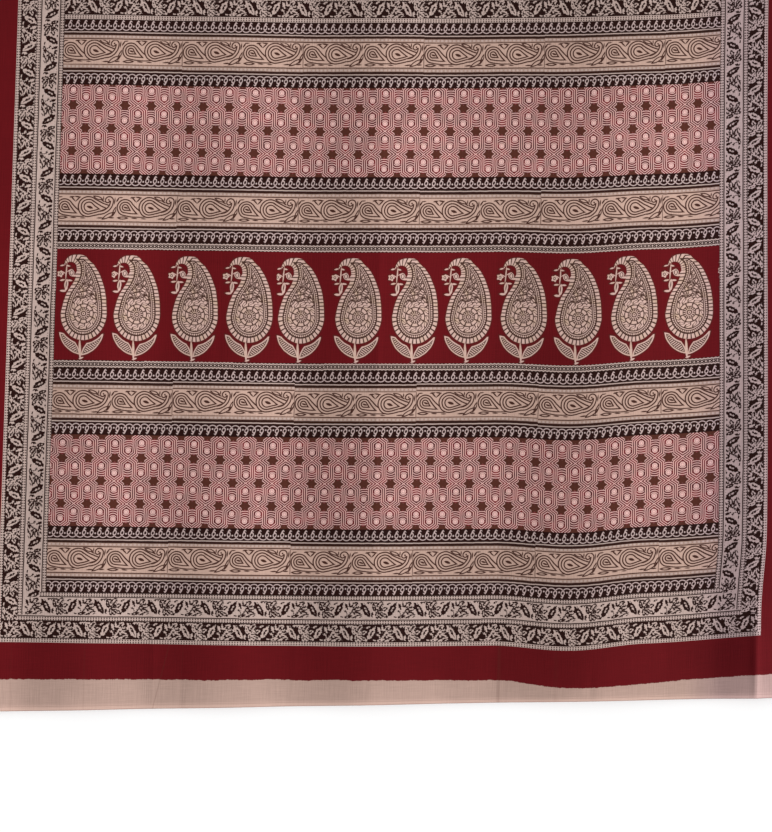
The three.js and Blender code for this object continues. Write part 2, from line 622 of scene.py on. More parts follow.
class Loom:
    """Builds one material of the cloth: its maps, the print on it, and its woven surface."""

    # How far a hand-held block's edges waver, and the size of one wave, in mm.
    WAVER = 0.7
    WAVER_SIZE = 9.0
    # The tone of a printing: how much it varies, and its lowest value.
    TONE_SPAN = 0.1
    TONE_LOW = 0.95
    # Rows of blocks: where the first begins above the hem, and their pitch.
    FIRST_ROW = 100.0
    ROW_PITCH = 240.0
    # The yarns: a cloud is drawn out across or along the cloth, further where the factor is smaller.
    WEFT_STREAK = (0.06, 1.3, 1.0)
    WARP_STREAK = (1.3, 0.04, 1.0)
    YARN_SIZE = 1.6
    # The size of a patch of paler or darker dye, in mm.
    PATCH_SIZE = 46.0
    # The values between which the painted shade and light along the cloth stays.
    PAINTED_SHADE_SPAN = (0.8, 1.1)
    # The surface of the cotton, with the height of its weave in metres.
    ROUGHNESS = 0.92
    SHEEN = 0.08
    BUMP_STRENGTH = 0.25
    BUMP_HEIGHT = 0.0004

    def __init__(self, name: str) -> None:
        """Starts a material.

        Args:
            name: The material's name.
        """
        self.material = bpy.data.materials.new(name)
        self.material.use_nodes = True
        self.tree = self.material.node_tree
        self.tree.nodes.clear()
        self.tone: Optional[Field] = None
        self.cloth = self._map("Cloth")
        self.print = self._hand_held(self._map("Print"))

    def _map(self, name: str) -> Spot:
        """Reads one of the cloth's maps, in mm."""
        node = add_node(self.tree, "UVMap", {}, uv_map=name)
        return Spot(self.tree, node.outputs[0]).scaled(1 / MM)

    def _hand_held(self, spot: Spot) -> Spot:
        """Makes edges waver as they do from a wooden block on loose cloth."""
        noise = self.cloudy(self.cloth, self.WAVER_SIZE, colour=True)
        return spot.solve("ADD", noise.solve("SUBTRACT", (0.5, 0.5, 0.5)).scaled(self.WAVER))

    def cloudy(
        self, spot: Spot, size: float, detail: float = 1.0, colour: bool = False
    ) -> Union[Spot, Field]:
        """Gives soft random cloudiness.

        Args:
            spot: Where it is read, in mm.
            size: The size of a cloud, in mm.
            detail: How many finer rounds it has.
            colour: True for three numbers in place of one.

        Returns:
            Numbers round 0.5.
        """
        values = {"Vector": spot, "Scale": 1 / size, "Detail": detail}
        node = add_node(self.tree, "TexNoise", values, noise_dimensions="2D")
        if colour:
            return Spot(self.tree, node.outputs["Color"])
        return Field(self.tree, node.outputs[0])

    def cells(self, spot: Spot, size: float) -> Field:
        """Draws random cells.

        Args:
            spot: Where they are read, in mm.
            size: The size of a cell, in mm.

        Returns:
            The distance to the nearest side, in shares of the size.
        """
        values = {"Vector": spot, "Scale": 1 / size}
        kind = {"voronoi_dimensions": "2D", "feature": "DISTANCE_TO_EDGE"}
        node = add_node(self.tree, "TexVoronoi", values, **kind)
        return Field(self.tree, node.outputs["Distance"])

    def chance(self, value: Field) -> Field:
        """Draws lots.

        Args:
            value: A whole number, or one with a half, at each point.

        Returns:
            One random number from 0 to 1 for each value.
        """
        node = add_node(self.tree, "TexWhiteNoise", {}, noise_dimensions="1D")
        connect(self.tree, node.inputs["W"], value)
        return Field(self.tree, node.outputs["Value"])

    def blocks(self, length: float, slip: float) -> Spot:
        """Sets each printing of the block a little off its line.

        Args:
            length: The block's length along the run.
            slip: How far it may be off, in mm.

        Returns:
            The place in the print.
        """
        run, height = self.print.axes()
        _, along = self.cloth.axes()
        row = ((along - self.FIRST_ROW) / self.ROW_PITCH).solve("FLOOR")
        number = row.times_plus(17.0, (run / length).solve("FLOOR"))
        off = self.chance(number).times_plus(slip * 2, -slip)
        self.vary(number)
        return self.print.made_of(run, height + off)

    def vary(self, number: Field) -> None:
        """Gives each numbered printing a tone of its own."""
        self.tone = self.chance(number + 0.5).times_plus(self.TONE_SPAN, self.TONE_LOW)

    def curve(self, value: Field, span: Pair, points: Sequence[Pair]) -> Field:
        """Reads a curve through given points.

        Args:
            value: Where it is read.
            span: The values between which the curve's heights lie.
            points: Places from 0 to 1, and heights in the span's own units.

        Returns:
            The curve's height.
        """
        node = add_node(self.tree, "FloatCurve", {"Value": value})
        low, high = span
        line = node.mapping.curves[0]
        while len(line.points) < len(points):
            line.points.new(0.5, 0.5)
        for handle, (place, height) in zip(line.points, points):
            handle.location = (place, (height - low) / (high - low))
        node.mapping.update()
        return Field(self.tree, node.outputs[0]).times_plus(high - low, low)

    def plain(self, dye: Dye) -> Spot:
        """Gives one dye all over."""
        node = add_node(self.tree, "RGB", {})
        node.outputs[0].default_value = dye.albedo()
        return Spot(self.tree, node.outputs[0])

    def over(self, ground: Union[Spot, Dye], mask: Field, ink: Union[Spot, Dye]) -> Spot:
        """Lays an ink on a ground.

        Args:
            ground: The colour under the ink.
            mask: 1 where the ink lies, and 0 where it doesn't.
            ink: The colour of the ink.

        Returns:
            The colour of both together.
        """
        under, top = (colour.albedo() if isinstance(colour, Dye) else colour for colour in (ground, ink))
        node = add_node(self.tree, "Mix", {0: mask, 6: under, 7: top}, data_type="RGBA")
        return Spot(self.tree, node.outputs[2])

    def finish(self, colour: Spot, fade: float) -> bpy.types.Material:
        """Adds the yarns' streaks, the painted shade along the cloth and on the right border, and the
        woven surface, and closes the material.

        Args:
            colour: The printed colour.
            fade: How much the dye varies over the cloth.

        Returns:
            The material.
        """
        weft, warp = (
            self.cloudy(self.cloth.solve("MULTIPLY", streak), self.YARN_SIZE, 2.0)
            for streak in (self.WEFT_STREAK, self.WARP_STREAK)
        )
        yarns = weft + warp
        patches = self.cloudy(self.cloth, self.PATCH_SIZE, 2.0)
        shade = patches.times_plus(fade, 1 - fade / 2) * yarns.times_plus(0.2, 0.8)
        if self.tone:
            shade = shade * self.tone
        across, along = self.cloth.axes()
        left, below = (
            (-(place - start)).solve("MULTIPLY", 1 / (start - full), clamp=True)
            for place, (start, full) in ((across, PALER_FROM), (along, PALER_BELOW))
        )
        shade = shade * (left * below).times_plus(PALER, 1.0)
        # Painted shade and light: the colours are painted darker or brighter along the cloth's length.
        end = PAINTED_SHADE_ALONG[-1][0]
        points = [(level / end, depth) for level, depth in PAINTED_SHADE_ALONG]
        level = (along / end).solve("MULTIPLY", 1.0, clamp=True)
        shade = shade * self.curve(level, self.PAINTED_SHADE_SPAN, points)
        # Painted cool shade: the right border is painted darker and bluer.
        low, high = PAINTED_COOL_SHADE_FROM
        painted_cool_shade = (across - low).solve("MULTIPLY", 1 / (high - low), clamp=True)
        colour = self.over(colour, painted_cool_shade, colour.solve("MULTIPLY", PAINTED_COOL_SHADE))
        woven = {"Strength": self.BUMP_STRENGTH, "Distance": self.BUMP_HEIGHT, "Height": yarns}
        bump = add_node(self.tree, "Bump", woven)
        surface = {
            "Base Color": colour.scaled(shade),
            "Roughness": self.ROUGHNESS,
            "Specular IOR Level": self.SHEEN,
        }
        shader = add_node(self.tree, "BsdfPrincipled", surface)
        self.tree.links.new(bump.outputs[0], shader.inputs["Normal"])
        output = add_node(self.tree, "OutputMaterial", {})
        self.tree.links.new(shader.outputs[0], output.inputs[0])
        return self.material


# The printed bands

# The length of the blocks of the vine bands, and how far they slip off their line.
VINE_BLOCK = 170.4
VINE_SLIP = 1.1


@dataclass(frozen=True)
class Finish:
    """One way that the cloth is dyed or printed. The plain one is dyed madder all over."""

    name: str = "plain_madder"
    fade: float = 0.16

    def colour(self, loom: Loom) -> Spot:
        """Draws the print. Every finish draws its own, with the builder of its material."""
        return loom.plain(MADDER)

    def dress(self) -> bpy.types.Material:
        """Makes the material of the finish."""
        loom = Loom(self.name)
        return loom.finish(self.colour(loom), self.fade)


@dataclass(frozen=True)
class Reverse(Finish):
    """The back of the cloth, where the dye came through."""

    name: str = "reverse"

    def colour(self, loom: Loom) -> Spot:
        """Draws the patchy back."""
        return loom.over(MADDER, loom.cloudy(loom.cloth, 14.0, 3.0), REVERSE)


@dataclass(frozen=True)
class DyedEnd(Finish):
    """The madder end band over the pale end that was kept out of the dye."""

    name: str = "dyed_end"
    width: float = 1150.0
    # How the edge of the dye strays: the size of a cloud, its finer rounds and its reach.
    strays: tuple[tuple[float, float, float], ...] = ((45.0, 1.0, 3.0), (7.0, 2.0, 2.2), (1.8, 1.0, 1.6))
    hem_line: float = 5.5
    # The height of the pale end below the dye, at shares of the width.
    pale_heights: tuple[Pair, ...] = (
        (0.0, 41.0), (0.5, 37.0), (0.65, 34.0), (0.76, 23.0), (0.88, 30.0), (1.0, 34.0),
    )
    # Painted crease shade: dark lines where the folded cloth was pressed, with their place across, half
    # width, strength and lean.
    marks: tuple[tuple[float, float, float, float], ...] = (
        (743.0, 5.0, 0.30, 0.0), (822.0, 8.0, 0.10, 0.0), (264.0, 1.8, 0.36, 0.24),
        (301.0, 1.6, 0.14, 0.04), (168.0, 3.0, 0.12, 0.0), (66.0, 3.0, 0.10, 0.0),
    )

    def colour(self, loom: Loom) -> Spot:
        """Draws the ragged lower edge of the dye, the faint hem line and the painted shade lines of the
        pressed creases.

        Args:
            loom: The material's builder.

        Returns:
            The colour.
        """
        run, height = loom.cloth.axes()
        level = loom.curve(run / self.width, (10.0, 50.0), self.pale_heights)
        edge = level - height
        for size, detail, reach in self.strays:
            edge = edge - loom.cloudy(loom.cloth, size, detail).times_plus(reach, -reach / 2)
        seep = edge.mask(5.0).solve("POWER", 3.0) * 0.6
        hem = (height - self.hem_line).outline(0.9).mask(0.8) * 0.22
        bare = loom.over(loom.over(BARE, hem, BROWN), (height - 1.0).mask(0.8) * 0.4, BROWN)
        dyed = loom.over(loom.over(bare, seep, MADDER), edge.mask(0.7), MADDER)
        # Painted crease shade: a soft dark line along each pressed crease.
        for across, reach, strength, lean in self.marks:
            mark = (run - height * lean - across).outline(reach * 0.4).mask(reach) * strength
            dyed = loom.over(dyed, mark, STAR_BROWN)
        return dyed


@dataclass(frozen=True)
class DottedLine(Finish):
    """A pale strip with two rows of fine dots, and a black line along one side where it has one."""

    name: str = "dotted_line"
    height: float = 5.6
    pitch: float = 3.72
    line: bool = False

    def colour(self, loom: Loom) -> Spot:
        """Draws the dots and the line.

        Args:
            loom: The material's builder.

        Returns:
            The colour.
        """
        run, height = loom.blocks(168.0, 0.3).axes()
        middle = (self.height - (2.6 if self.line else 0.0)) / 2
        rows = (height - middle).size()
        ink = loom.print.made_of(run.wrapped(self.pitch), rows - 1.4).far() - 0.95
        if self.line:
            ink = ink.join((height - (self.height - 2.0)).outline(1.6)).join(height.outline(1.2))
        return loom.over(PALE, ink.mask(), BLACK)


class Ground(Enum):
    """Whether leaves are printed dark on pale cloth, or left pale in a black ground."""

    PALE = "pale"
    BLACK = "black"


class Cut(Enum):
    """How a mark is cut in the block: filled, or an outline of so many strokes."""

    SOLID = 0.0
    OPEN = 1.0
    BOLD = 1.6


@dataclass(frozen=True)
class LeafMark:
    """One leaf, in mm. As long as it is wide, it is a round dot or ring."""

    x: float
    y: float
    angle: float
    length: float
    width: float
    cut: Cut = Cut.OPEN

    def draw(self, spot: Spot, stroke: float) -> Field:
        """Draws the mark.

        Args:
            spot: The place in the motif.
            stroke: The width of an outline.

        Returns:
            The shape.
        """
        if self.length == self.width:
            shape = spot.dot((self.x, self.y), self.width / 2)
        else:
            shape = spot.leaf((self.x, self.y), self.angle, self.length, self.width)
        return shape if self.cut is Cut.SOLID else shape.outline(stroke * self.cut.value)


# One repeat of the border's leaves, from the lower edge of the band up.
SPRAY = (
    LeafMark(1.0, 22.4, 30, 6.0, 1.8, Cut.SOLID),
    LeafMark(6.2, 22.2, -8, 7.0, 2.2, Cut.SOLID),
    LeafMark(13.0, 20.4, 30, 10.0, 4.2),
    LeafMark(5.2, 15.6, 106, 9.4, 3.0),
    LeafMark(17.6, 13.6, 20, 10.4, 4.0),
    LeafMark(12.2, 13.8, 46, 7.0, 2.4),
    LeafMark(9.6, 6.4, 88, 9.6, 3.6),
    LeafMark(18.0, 5.8, -30, 10.0, 3.8),
    LeafMark(13.6, 2.2, -8, 6.6, 2.2, Cut.SOLID),
    LeafMark(8.6, 12.4, -58, 19.0, 1.8, Cut.SOLID),
    LeafMark(2.8, 6.0, 96, 7.4, 2.4, Cut.SOLID),
    LeafMark(30.0, 13.2, 60, 16.0, 5.0, Cut.BOLD),
    LeafMark(24.6, 21.4, 18, 6.4, 2.2, Cut.SOLID),
    LeafMark(23.8, 3.0, 0, 2.4, 2.4, Cut.SOLID),
    LeafMark(35.0, 2.6, 6, 4.6, 2.2, Cut.SOLID),
    LeafMark(40.6, 17.4, 112, 9.6, 3.0, Cut.SOLID),
    LeafMark(45.2, 19.6, 92, 8.6, 2.6, Cut.SOLID),
    LeafMark(51.6, 19.8, 40, 9.6, 4.0),
    LeafMark(56.8, 14.2, 10, 10.6, 4.0),
    LeafMark(40.2, 9.4, 132, 8.0, 2.6, Cut.SOLID),
    LeafMark(55.4, 7.4, -14, 10.0, 3.8),
    LeafMark(43.6, 3.2, 10, 9.0, 2.8),
    LeafMark(51.8, 2.4, -10, 7.0, 2.2, Cut.SOLID),
    LeafMark(47.8, 10.6, 58, 19.0, 1.8, Cut.SOLID),
    LeafMark(50.6, 13.4, 20, 6.4, 2.2, Cut.SOLID),
    LeafMark(67.6, 12.2, -58, 17.0, 5.0, Cut.BOLD),
    LeafMark(62.4, 21.8, -16, 6.4, 2.2, Cut.SOLID),
    LeafMark(70.6, 22.6, 4, 6.0, 2.0, Cut.SOLID),
    LeafMark(60.6, 3.0, 24, 4.6, 2.2, Cut.SOLID),
)


@dataclass(frozen=True)
class LeafBand(Finish):
    """A border of leaf sprays."""

    name: str = "leaf_band"
    ground: Ground = Ground.PALE
    repeat: float = 74.0
    shift: float = 0.0
    stroke: float = 2.15
    # How deep the cutter's notches go into the leaves' edges, and how far apart they are.
    notch: float = 4.4
    notch_size: float = 2.4

    def colour(self, loom: Loom) -> Spot:
        """Draws one repeat of sprays along the run.

        Args:
            loom: The material's builder.

        Returns:
            The colour.
        """
        run, height = loom.blocks(self.repeat * 2, 0.4).axes()
        cell = loom.print.made_of((run + self.shift).solve("FLOORED_MODULO", self.repeat), height)
        notches = loom.cloudy(cell, self.notch_size, 1.0).times_plus(self.notch, -self.notch / 2)
        sprays = (joined(mark.draw(cell, self.stroke) for mark in SPRAY) + notches).mask()
        if self.ground is Ground.PALE:
            return loom.over(PALE, sprays, BLACK)
        return loom.over(BLACK, sprays, PALE)


@dataclass(frozen=True)
class ChainBand(Finish):
    """Looped stems in a row, with a dot between each two and a garland under them."""

    name: str = "chain_band"
    pitch: float = 10.6
    stroke: float = 1.1

    def colour(self, loom: Loom) -> Spot:
        """Draws one loop and repeats it.

        Args:
            loom: The material's builder.

        Returns:
            The colour.
        """
        run, height = loom.blocks(127.2, 0.35).axes()
        place = run.wrapped(self.pitch)
        cell = loom.print.made_of(place, height)
        gap = loom.print.made_of(place.size() - self.pitch / 2, height)
        loop = cell.oval((0.3, 8.6), 74, 6.0, 4.2).outline(self.stroke)
        tail = cell.leaf((0.2, 12.8), 66, 7.4, 1.8).join(cell.leaf((2.0, 14.6), -36, 3.4, 1.3))
        seed = gap.dot((0.0, 7.4), 1.15)
        garland = gap.ring((0.0, 8.0), 6.0, 1.2).within(height - 4.6)
        return loom.over(BLACK, joined((loop, tail, seed, garland)).mask(), CHAIN_PALE)


@dataclass(frozen=True)
class PlainLines(Finish):
    """A dark line and a pale line that run beside each other."""

    name: str = "plain_lines"
    pale_at: float = 3.7
    stroke: float = 1.4

    def colour(self, loom: Loom) -> Spot:
        """Draws the pale line on the dark ground.

        Args:
            loom: The material's builder.

        Returns:
            The colour.
        """
        _, height = loom.blocks(VINE_BLOCK, VINE_SLIP * 0.7).axes()
        low = height - self.pale_at
        dark = loom.over(DEEP_BROWN, low.solve("MULTIPLY", 0.5, clamp=True), BLACK)
        return loom.over(dark, low.outline(self.stroke).mask(), PALE)


@dataclass(frozen=True)
class TanDots(Finish):
    """A tan strip with a row of pale dashes and a brown line."""

    name: str = "tan_dots"
    pitch: float = 5.65

    def colour(self, loom: Loom) -> Spot:
        """Draws the dashes and the line.

        Args:
            loom: The material's builder.

        Returns:
            The colour.
        """
        run, height = loom.blocks(VINE_BLOCK, VINE_SLIP).axes()
        seat = loom.print.made_of(run.wrapped(self.pitch), height)
        strip = loom.over(TAN, (height - 4.2).outline(3.8).mask(0.8) * 0.38, BROWN)
        dashed = loom.over(strip, seat.oval((0.0, 4.2), 0, 4.3, 2.5).mask(0.8), PALE)
        lined = loom.over(dashed, (height - 1.0).outline(1.6).mask(), BROWN)
        return loom.over(lined, (-(height - 6.2)).mask(), DEEP_BROWN)


@dataclass(frozen=True)
class Teardrop:
    """One line of the nested paisleys, in mm and degrees, as Spot.drop takes them."""

    x: float
    y: float
    angle: float
    spread: float
    bend: float
    radius: float

    def shape(self, spot: Spot) -> Field:
        """Draws the area inside the line."""
        return spot.drop((self.x, self.y), self.angle, self.spread, self.bend) - self.radius


@dataclass(frozen=True)
class VineBand(Finish):
    """Two nested paisleys to a repeat, the second with a tail that curls over, in brown line on tan."""

    name: str = "vine_band"
    repeat: float = 85.2
    stroke: float = 1.8
    small: tuple[Teardrop, ...] = (
        Teardrop(12.6, 18.0, -37, 19, -0.009, 11.2),
        Teardrop(12.6, 18.2, -36, 24, -0.008, 7.5),
        Teardrop(12.6, 18.2, -32, 30, -0.004, 4.0),
    )
    large: tuple[Teardrop, ...] = (
        Teardrop(46.0, 18.6, -14, 21, -0.006, 14.0),
        Teardrop(46.4, 18.5, -14, 24, -0.006, 10.3),
        Teardrop(46.8, 18.3, -15, 27, -0.004, 6.7),
    )
    # The tail of the large one sweeps up round a middle and ends in a curl.
    sweep: Pair = (61.5, 27.5)
    sweep_radii: Pair = (19.4, 15.4)
    curl_radius: float = 5.5
    inner_curl_radius: float = 3.0

    def colour(self, loom: Loom) -> Spot:
        """Draws one repeat along the run, and the line where two printings meet.

        Args:
            loom: The material's builder.

        Returns:
            The colour.
        """
        run, height = loom.blocks(VINE_BLOCK, VINE_SLIP).axes()
        cell = loom.print.made_of(run.solve("FLOORED_MODULO", self.repeat), height)
        large = [drop.shape(cell) for drop in self.large]
        small = [drop.shape(cell) for drop in self.small]
        x, y = cell.axes()
        before = (x - self.sweep[0]).join(cell.far(self.sweep) - self.sweep_radii[1] + 0.6)
        lines = [shape.outline(self.stroke).within(before) for shape in large]
        lines += [shape.outline(self.stroke).within(-large[0]) for shape in small]
        lines += self.tail(cell, x, y)
        lines += [mark.draw(cell, 1.5) for mark in self.marks()]
        joint = run.wrapped(VINE_BLOCK).outline(1.2)
        drawn = loom.over(TAN, joined(lines).mask(), BROWN)
        return loom.over(drawn, joint.mask(0.8) * 0.8, BROWN)

    def tail(self, cell: Spot, x: Field, y: Field) -> list[Field]:
        """Draws the two sweeping lines and the curl that they end in.

        Args:
            cell: The place in the repeat.
            x: Its length along the run.
            y: Its height.

        Returns:
            The lines.
        """
        at_x, level = self.sweep
        low, high = y - level, -(y - level)
        beyond = -(x - at_x)
        right = at_x + self.sweep_radii[0]
        curl = cell.ring((right - self.curl_radius, level), self.curl_radius, self.stroke)
        left = right - 2 * self.curl_radius
        inner = cell.ring((left + self.inner_curl_radius, level), self.inner_curl_radius, self.stroke)
        rings = [cell.ring(self.sweep, radius, self.stroke) for radius in self.sweep_radii]
        arcs = [ring.within(beyond).within(low) for ring in rings]
        return [*arcs, curl.within(high), inner.within(low)]

    def marks(self) -> tuple[LeafMark, ...]:
        """Lists the eyes of the paisleys, the curl's dot and the leaves round them."""
        return (
            LeafMark(13.6, 17.8, -18, 7.4, 2.6, Cut.SOLID),
            LeafMark(48.4, 17.8, -18, 9.6, 3.8, Cut.SOLID),
            LeafMark(74.4, 28.4, 0, 2.4, 2.4, Cut.SOLID),
            LeafMark(59.6, 31.0, -20, 13.0, 3.6),
            LeafMark(66.0, 27.2, -30, 8.0, 2.0, Cut.SOLID),
            LeafMark(67.4, 30.8, 88, 6.0, 1.6, Cut.SOLID),
            LeafMark(24.4, 29.4, -46, 11.0, 2.0, Cut.SOLID),
            LeafMark(31.4, 29.2, 46, 11.0, 2.0, Cut.SOLID),
            LeafMark(22.6, 32.0, 8, 8.0, 2.2, Cut.SOLID),
            LeafMark(31.0, 32.4, -8, 10.0, 2.2, Cut.SOLID),
            LeafMark(1.8, 28.6, 56, 10.0, 2.2, Cut.SOLID),
            LeafMark(6.0, 31.8, 6, 7.0, 1.6, Cut.SOLID),
            LeafMark(83.0, 27.0, 84, 10.0, 1.8, Cut.SOLID),
            LeafMark(9.4, 3.4, 0, 13.0, 3.0),
            LeafMark(25.4, 3.2, -4, 9.0, 1.8, Cut.SOLID),
            LeafMark(74.6, 6.2, 30, 19.0, 4.6),
            LeafMark(63.0, 3.0, 4, 11.0, 2.0, Cut.SOLID),
            LeafMark(52.0, 26.6, -38, 8.0, 1.4, Cut.SOLID),
            LeafMark(38.6, 2.8, -2, 8.0, 1.6, Cut.SOLID),
            LeafMark(82.6, 12.4, 66, 14.0, 2.8),
            LeafMark(78.6, 3.4, 0, 9.0, 2.0, Cut.SOLID),
        )


@dataclass(frozen=True)
class StarLattice(Finish):
    """Braided strands of three lines round six-pointed stars, with discs and arcs between."""

    name: str = "star_lattice"
    pitch: float = 36.68
    row: float = 32.1
    middle: float = 63.8
    phase: float = 33.9
    slant: float = 7.0
    strand: float = 2.65
    stroke: float = 1.0
    star_radius: float = 4.0
    # The arcs round a disc: their pitch, the first one's radius, half their width, and their ends.
    arc_pitch: float = 3.0
    first_arc: float = 5.0
    arc_reach: float = 5.0
    arc_ends: Pair = (3.4, 18.2)
    # The discs: their place from a star, their radius, and the faint ring in them.
    disc_at: float = 21.2
    disc_radius: float = 3.75
    disc_ring: float = 2.1
    # How far from a star the strands' outer lines end, and how narrow the star is.
    edge_end: float = 6.6
    narrow: float = 0.86
    # The clouds of brighter red: their size.
    cloud: float = 13.0

    def colour(self, loom: Loom) -> Spot:
        """Draws a quarter of a cell and folds the cloth on it.

        Args:
            loom: The material's builder.

        Returns:
            The colour.
        """
        spot = loom.blocks(self.pitch * 3, 0.4)
        run, height = spot.axes()
        half = self.pitch / 2
        u = (run - self.phase).solve("PINGPONG", half)
        v = (height - self.middle).solve("PINGPONG", self.row)
        norm = math.hypot(self.slant, half / 2)
        across = (self.slant / norm, half / 2 / norm)
        slanted = spot.made_of(u, v).towards(*across)
        tip_line = slanted - across[1] * self.row
        bulge_line = slanted - across[0] * half
        side = (u - half / 2).within(tip_line).join(bulge_line)
        # From the nearer star: u and v as they are, or turned half round.
        inside = side.solve("LESS_THAN", 0.0)
        turn = inside.times_plus(2.0, -1.0)
        far = inside.times_plus(-1.0, 1.0)
        star_u = u * turn + far * half
        star_v = v * turn + far * self.row
        own = spot.made_of(star_u, star_v)
        apart = side.size()
        strands = apart.join((apart - self.strand).size())
        cell_edge = (apart - 2 * self.strand).size().within(star_v - self.edge_end)
        disc = own.far((0.0, self.disc_at))
        arc_low, arc_high = self.arc_ends
        arcs = (disc - self.first_arc).wrapped(self.arc_pitch).size()
        arcs = arcs.within(star_u - self.arc_reach).within(star_v - arc_high)
        pale = joined((strands, cell_edge, arcs.within(-(star_v - arc_low)))) - self.stroke / 2
        uneven = loom.cloudy(loom.cloth, self.cloud, 1.0).times_plus(2.6, -0.9, clamp=True) * 0.6
        red = loom.over(LATTICE_RED, uneven, LATTICE_BRIGHT)
        ground = loom.over(red, pale.join(disc - self.disc_radius).mask(), LATTICE_PINK)
        ground = loom.over(ground, (disc - self.disc_ring).outline(0.9).mask() * 0.4, red)
        wide = star_u * self.narrow
        side_x, side_y = 0.5, 0.866
        point = wide.times_plus(-side_x, star_v * side_y)
        star = spot.made_of(wide, star_v).towards(side_x, side_y).join(wide.within(point))
        star = star - self.star_radius
        return loom.over(ground, star.mask(), STAR_BROWN)


@dataclass(frozen=True)
class BeadLine(Finish):
    """A row of pale beads on black, between two wavy pale lines."""

    name: str = "bead_line"
    height: float = 10.5
    pitch: float = 5.25
    bead: float = 1.15
    line_at: float = 3.5
    wave: float = 0.35

    def colour(self, loom: Loom) -> Spot:
        """Draws one bead and the lines beside it, and repeats them.

        Args:
            loom: The material's builder.

        Returns:
            The colour.
        """
        run, height = loom.blocks(126.0, 0.4).axes()
        place = run.wrapped(self.pitch)
        off = (height - self.height / 2).size()
        lines = (off - place.size() * self.wave - self.line_at + 0.4).outline(1.7)
        beads = loom.print.made_of(place, off).far() - self.bead
        specks = loom.print.made_of(place.size() - self.pitch / 2, off - 1.5).far() - 0.55
        return loom.over(BLACK, joined((lines, beads, specks)).mask(0.7), PALE)


# The rings and leaves that fill a paisley, from the middle of its rosette.
SCROLL = (
    LeafMark(16.1, 33.2, 0, 4.6, 4.6),
    LeafMark(18.0, 27.6, 0, 4.6, 4.6),
    LeafMark(19.6, 20.8, 0, 4.6, 4.6),
    LeafMark(17.9, 14.4, 0, 4.4, 4.4),
    LeafMark(9.8, 49.0, 0, 4.0, 4.0),
    LeafMark(15.0, 46.6, 0, 4.2, 4.2),
    LeafMark(13.2, 41.2, 0, 4.2, 4.2),
    LeafMark(3.4, 58.6, 74, 11.0, 3.6),
    LeafMark(8.6, 57.0, 112, 10.0, 3.4),
    LeafMark(2.6, 50.4, 92, 12.0, 1.4, Cut.SOLID),
    LeafMark(6.2, 51.4, 60, 9.0, 1.4, Cut.SOLID),
    LeafMark(-2.4, 45.0, 120, 9.0, 3.4),
    LeafMark(4.6, 43.6, 40, 9.0, 3.6),
    LeafMark(9.4, 37.4, -38, 11.0, 3.6),
    LeafMark(2.8, 36.8, 24, 11.0, 3.8),
    LeafMark(-5.0, 38.0, 62, 10.0, 3.4),
    LeafMark(-0.6, 30.8, 10, 14.0, 1.6, Cut.SOLID),
    LeafMark(8.2, 29.8, -28, 12.0, 3.8),
    LeafMark(13.0, 24.2, -52, 11.0, 3.4),
    LeafMark(5.2, 24.6, 20, 9.0, 2.8),
    LeafMark(-6.4, 28.0, -30, 8.0, 3.4),
    LeafMark(-12.6, 20.0, 52, 12.0, 3.2),
    LeafMark(-4.4, 22.6, -8, 10.0, 2.6),
    LeafMark(-1.6, 41.0, 75, 9.0, 1.4, Cut.SOLID),
)

# The spray that hangs from a paisley's tip, from the same middle.
SPRIG = (
    LeafMark(-26.2, 58.4, 86, 25.0, 1.7, Cut.SOLID),
    LeafMark(-32.2, 67.0, 12, 6.2, 2.0, Cut.SOLID),
    LeafMark(-23.6, 66.6, -12, 6.2, 2.0, Cut.SOLID),
    LeafMark(-30.0, 57.4, -28, 7.5, 1.5, Cut.SOLID),
    LeafMark(-21.8, 60.0, 28, 8.0, 1.5, Cut.SOLID),
    LeafMark(-18.6, 57.0, 88, 9.6, 7.6, Cut.SOLID),
    LeafMark(-31.4, 46.6, 8, 7.4, 2.4, Cut.SOLID),
    LeafMark(-21.0, 46.2, -4, 7.4, 2.4, Cut.SOLID),
    LeafMark(-25.6, 40.6, 84, 15.0, 5.6, Cut.SOLID),
    LeafMark(-25.6, 34.6, 60, 8.0, 3.2, Cut.SOLID),
    LeafMark(-30.2, 31.4, -4, 9.0, 3.0, Cut.SOLID),
)


